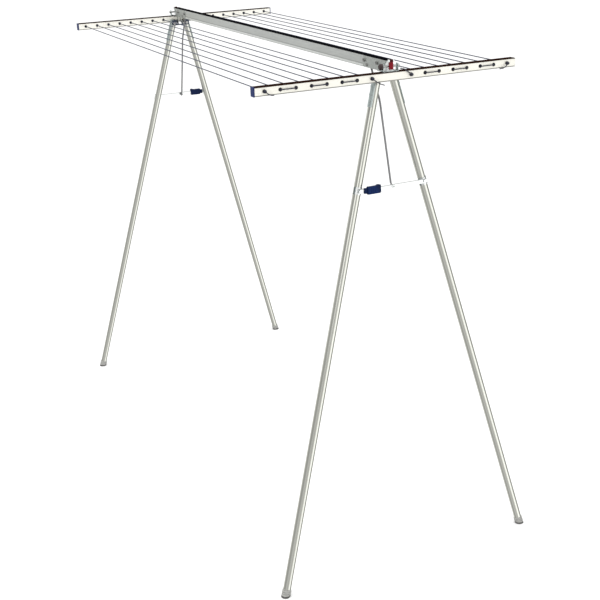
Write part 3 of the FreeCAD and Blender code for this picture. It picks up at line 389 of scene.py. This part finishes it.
def lever_finish():
    """Red plastic, with painted shade darkening it over the knuckle at its top."""
    g = Graph("red_lever_plastic", RED, 0.45, specular=0.15)
    cloud = g.noise(g.coords((60, 60, 60)), 1.0, 4.0, 0.6)
    tint = g.mottled(cloud, RED, 0.85, 1.15, high=0.72)
    foot, top = levels("release_lever_near")
    # painted shade over the top 9 mm, darkest at the very top
    tint = g.banded(tint, [(foot, 1.0), (top - 9.0, 1.0), (top - 6.0, 0.35), (top, 0.2)])
    fine = g.grain()
    return g.finish(tint, g.ramp(fine, [(0.3, 0.4), (0.7, 0.5)]),
                    g.bump(fine, MOULD_STRENGTH, MOULD_DEPTH))


def leg_finish(node):
    """Streaks that follow the leg: from its top, near the hinge, to the middle of its foot."""
    low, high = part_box(node)
    near, right = high.x > 0, high.y > 0
    top = Vector((low.x if near else high.x, low.y if right else high.y, high.z))
    foot = Vector((high.x if near else low.x, high.y if right else low.y, low.z))
    turn = (foot - top).normalized().rotation_difference(Vector((1, 0, 0))).to_euler()
    return drawn_metal("satin_" + node, BARE, tuple(turn), 0.13)


# ---------------------------------------------------------------- dressing the CAD nodes
FINISHES = {
    "aluminium_beam": beam_finish(),
    "aluminium_bar": bar_finish(),
    "zinc_steel": zinc("galvanised_sheet", TEAL_ZINC),
    "bright_steel": zinc("plated_fastener", FASTENER, rough=0.32),
    "black_strip": moulded("black_soft_strip", BLACK_TRIM, 0.85, specular=0.0, worn=1.0),
    "brown_strip": moulded("brown_soft_strip", BROWN_TRIM, 0.8, specular=0.0, worn=1.1),
    "blue_plastic": moulded("royal_blue_plastic", LOCK_BLUE, 0.5, specular=0.12, worn=0.4),
    "dark_cap": moulded("charcoal_plastic", CHARCOAL, 0.45, specular=0.3),
    "white_plastic": moulded("white_plastic", WHITE, 0.4, worn=1.1),
    "red_plastic": lever_finish(),
    "black_bush": moulded("black_bush_plastic", BUSH_BLACK, 0.5, specular=0.15),
    "line_cord": sheathed_cord("slate_cord", SLATE),
    "rubber_foot": foot_finish(),
}
LINK = link_finish()
DARK_CORD = sheathed_cord("dark_slate_cord", DARK_SLATE)
# nodes whose finish differs from the rest of their slot, by the start of their name
OWN_FINISH = {
    "brace_lock_link": LINK,
    "brace_plain_link": LINK,
    "brace_centre_rivet": rivet_finish(),
    "brace_saddle": zinc("bright_zinc_bar", PALE_ZINC, rough=0.3, cut=CUT_ZINC),
    "hinge_bracket": zinc("dull_zinc_bracket", DULL_ZINC, rough=0.5),
    # the head plates' dark colour includes painted shade
    "head_plate": zinc("dark_plate_and_shade", PLATE_BLUE_AND_SHADE, rough=0.45),
    "crossbar_end_caps": cap_finish(),
    "stay_rod": drawn_metal("drawn_rod", ROD, ROD_TURN, 0.35),
    "line_turns": DARK_CORD,
    "line_knots": DARK_CORD,
}


def finish_of(name):
    for start, own in OWN_FINISH.items():
        if name.startswith(start):
            return own
    slot = SLOT_OF[name]
    return leg_finish(name) if slot == "aluminium_tube" else FINISHES[slot]


def dress(name, node):
    """Material, smooth shading and rounded edges of one CAD node."""
    node.data.materials.clear()
    node.data.materials.append(finish_of(name))
    node.data.shade_smooth()
    if SLOT_OF[name] in ROUNDED:
        bevel = node.modifiers.new("rounded_edges", "BEVEL")
        bevel.width = ROUNDED[SLOT_OF[name]] * MM
        bevel.segments = 3
        bevel.limit_method = "ANGLE"
        bevel.angle_limit = ROUND_ABOVE
        bevel.harden_normals = False
    split = node.modifiers.new("sharp_edges", "EDGE_SPLIT")
    split.split_angle = SPLIT_ABOVE


for node_name, cad_node in NODES.items():
    dress(node_name, cad_node)


# ---------------------------------------------------------------- floor, light and camera
def floor():
    """White floor.  Metal mirrors the studio below the horizon in its place."""
    bpy.ops.mesh.primitive_plane_add(size=FLOOR_SIZE, location=(0, 0, -0.5 * MM))
    plane = bpy.context.object
    plane.name = "floor"
    g = Graph("pale_floor", FLOOR_GREY, 0.9, specular=0.0)
    cloud = g.noise(g.coords((3, 3, 3)), 1.0, 2.0)
    g.set(g.shader, {"Base Color": g.ramp(cloud, list(zip((0.3, 0.7), FLOOR_GREYS)))})
    plane.visible_glossy = False
    plane.data.materials.append(g.material)


def studio_ramp(w, value, stops):
    """Eased ramp of faintly warm greys."""
    warm = [(position, (grey, grey, grey * STUDIO_WARMTH)) for position, grey in stops]
    return w.ramp(value, warm, "EASE")


def sky():
    """Bright ceiling over walls and ground that are lit unevenly; plain white behind it all."""
    world = bpy.data.worlds.new("studio")
    bpy.context.scene.world = world
    world.use_nodes = True
    w = Nodes(world.node_tree)
    direction = w.split(w.add("TexCoord").outputs["Generated"])
    angle = w.math("ARCTAN2", direction["Y"], direction["X"])
    turn = w.math("MULTIPLY_ADD", angle, 1 / (2 * math.pi), 0.5)
    ground = studio_ramp(w, turn, LEFT_SIDE + BELOW_HORIZON + RIGHT_SIDE)
    walls = studio_ramp(w, turn, LEFT_SIDE + ABOVE_HORIZON + RIGHT_SIDE)
    sides = w.mix(studio_ramp(w, direction["Z"], WALLS_RISE), ground, walls)
    studio = w.mix(studio_ramp(w, direction["Z"], CEILING_RISE), sides, WHITE_LIGHT)
    seen = w.mix(w.add("LightPath").outputs["Is Camera Ray"], studio, WHITE_LIGHT)
    w.set(w.nodes["Background"], {"Color": seen, "Strength": STUDIO_STRENGTH})


def softbox(name, place, aim, size):
    light = bpy.data.lights.new(name, "AREA")
    light.shape = "RECTANGLE"
    light.size, light.size_y = size
    light.energy = LAMP_WATTS
    lamp = bpy.data.objects.new(name, light)
    bpy.context.scene.collection.objects.link(lamp)
    lamp.location = place
    lamp.rotation_euler = (Vector(aim) - Vector(place)).to_track_quat("-Z", "Y").to_euler()
    lamp.visible_glossy = False


def camera():
    data = bpy.data.cameras.new("camera")
    data.sensor_width = SENSOR_MM
    data.lens = LENS_MM
    data.clip_end = FAR_CLIP
    view = bpy.data.objects.new("camera", data)
    bpy.context.scene.collection.objects.link(view)
    forward = CAMERA_FORWARD.normalized()
    up = (forward * CAMERA_DOWN.dot(forward) - CAMERA_DOWN).normalized()
    right = forward.cross(up)
    turn = Matrix((right, up, -forward)).transposed()
    view.matrix_world = Matrix.Translation(CAMERA_PLACE) @ turn.to_4x4()
    bpy.context.scene.camera = view


floor()
sky()
softbox("overhead", place=(0.3, 0.2, 4.6), aim=(0, 0, 0.8), size=(4.0, 3.0))
softbox("left", place=(1.5, -4.5, 3.0), aim=(0, 0, 0.9), size=(2.0, 3.0))
camera()
bpy.context.scene.view_settings.view_transform = "Standard"
